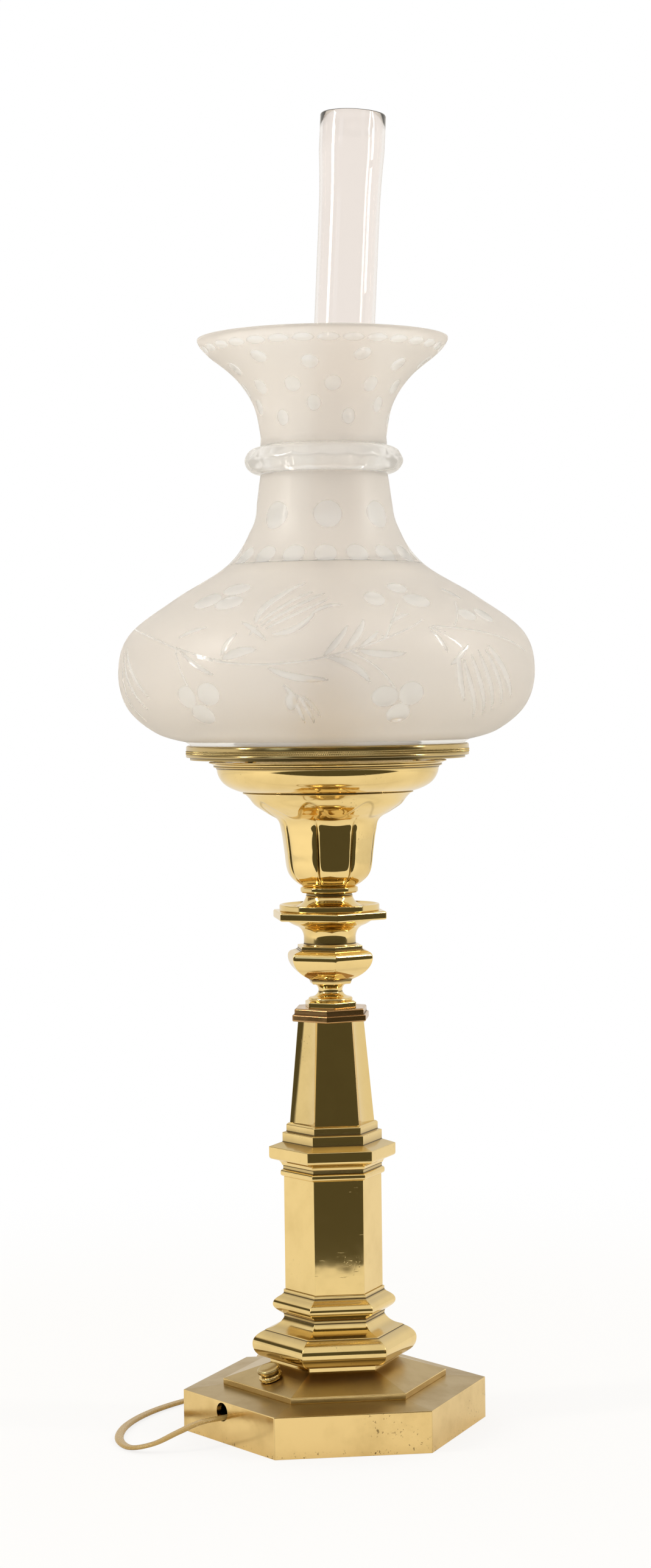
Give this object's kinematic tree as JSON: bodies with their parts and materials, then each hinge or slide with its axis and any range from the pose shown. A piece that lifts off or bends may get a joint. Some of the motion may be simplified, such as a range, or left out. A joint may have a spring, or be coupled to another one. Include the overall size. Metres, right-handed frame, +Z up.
{
  "type": "solar table lamp",
  "caption": "Brass solar lamp with a hexagonal base and column, lobed font, cut frosted glass shade and clear chimney, rewired with a switch and cord.",
  "frame": {"origin": "centre of the base, on the surface the lamp stands on", "axes": "+Z up, the front face of the hexagonal base looks along -Y, +X to the right seen from the front"},
  "size_m": [0.2554, 0.286, 0.7753],
  "materials": {
    "polished_brass": "polished",
    "base_brass": "worn polish with fine scratches",
    "dark_brass": "tarnished",
    "frosted_glass": "frosted, with clear cuts",
    "clear_glass": "clear, polished",
    "plated_steel": "plated",
    "dark_plastic": "matt",
    "gold_vinyl": "translucent, glossy"
  },
  "bodies": {
    "lamp": {"baluster_cavetto": "polished_brass", "baluster_knop": "polished_brass", "baluster_neck": "polished_brass", "base_step": "base_brass", "base_torus": "polished_brass", "bulb_cap": "polished_brass", "bulb_glass": "clear_glass", "burner_body": "polished_brass", "column_capital": "polished_brass", "column_shaft": "polished_brass", "cord": "gold_vinyl", "cord_coil": "gold_vinyl", "cord_grip": "dark_plastic", "cord_tail": "gold_vinyl", "cord_tie": "dark_plastic", "cross_bar": "plated_steel", "font_bowl": "polished_brass", "font_collar": "polished_brass", "font_cover": "polished_brass", "font_cup": "polished_brass", "font_plate": "polished_brass", "font_saucer": "polished_brass", "gallery": "polished_brass", "plinth": "base_brass", "plug_blade_1": "plated_steel", "plug_blade_2": "plated_steel", "plug_body": "gold_vinyl", "ring_spider": "polished_brass", "riser_wire": "gold_vinyl", "rod_nut": "plated_steel", "rod_washer": "plated_steel", "shade_ring": "polished_brass", "socket_cap": "polished_brass", "socket_insulator": "dark_plastic", "socket_shell": "polished_brass", "stem_foot": "polished_brass", "switch_body": "dark_plastic", "switch_nut": "polished_brass", "taper_cap": "dark_brass", "tapered_shaft": "polished_brass", "tie_rod": "plated_steel", "top_locknut": "polished_brass"},
    "shade_body": {"shade": "frosted_glass"},
    "chimney_body": {"chimney": "clear_glass"},
    "knob_body": {"switch_knob": "polished_brass", "switch_shaft": "polished_brass"}
  },
  "joints": [
    {"name": "shade_lift", "type": "slide", "parent": "lamp", "child": "shade_body", "axis": [0, 0, 1], "range_m": [0, 0.06]},
    {"name": "chimney_lift", "type": "slide", "parent": "lamp", "child": "chimney_body", "axis": [0.0528, -0.0068, 0.9986], "range_m": [0, 0.25]},
    {"name": "knob_turn", "type": "hinge", "parent": "lamp", "child": "knob_body", "pos_m": [-0.04068, -0.02349, 0.0338], "axis": [-0.2856, -0.1649, 0.9441], "continuous": true}
  ]
}
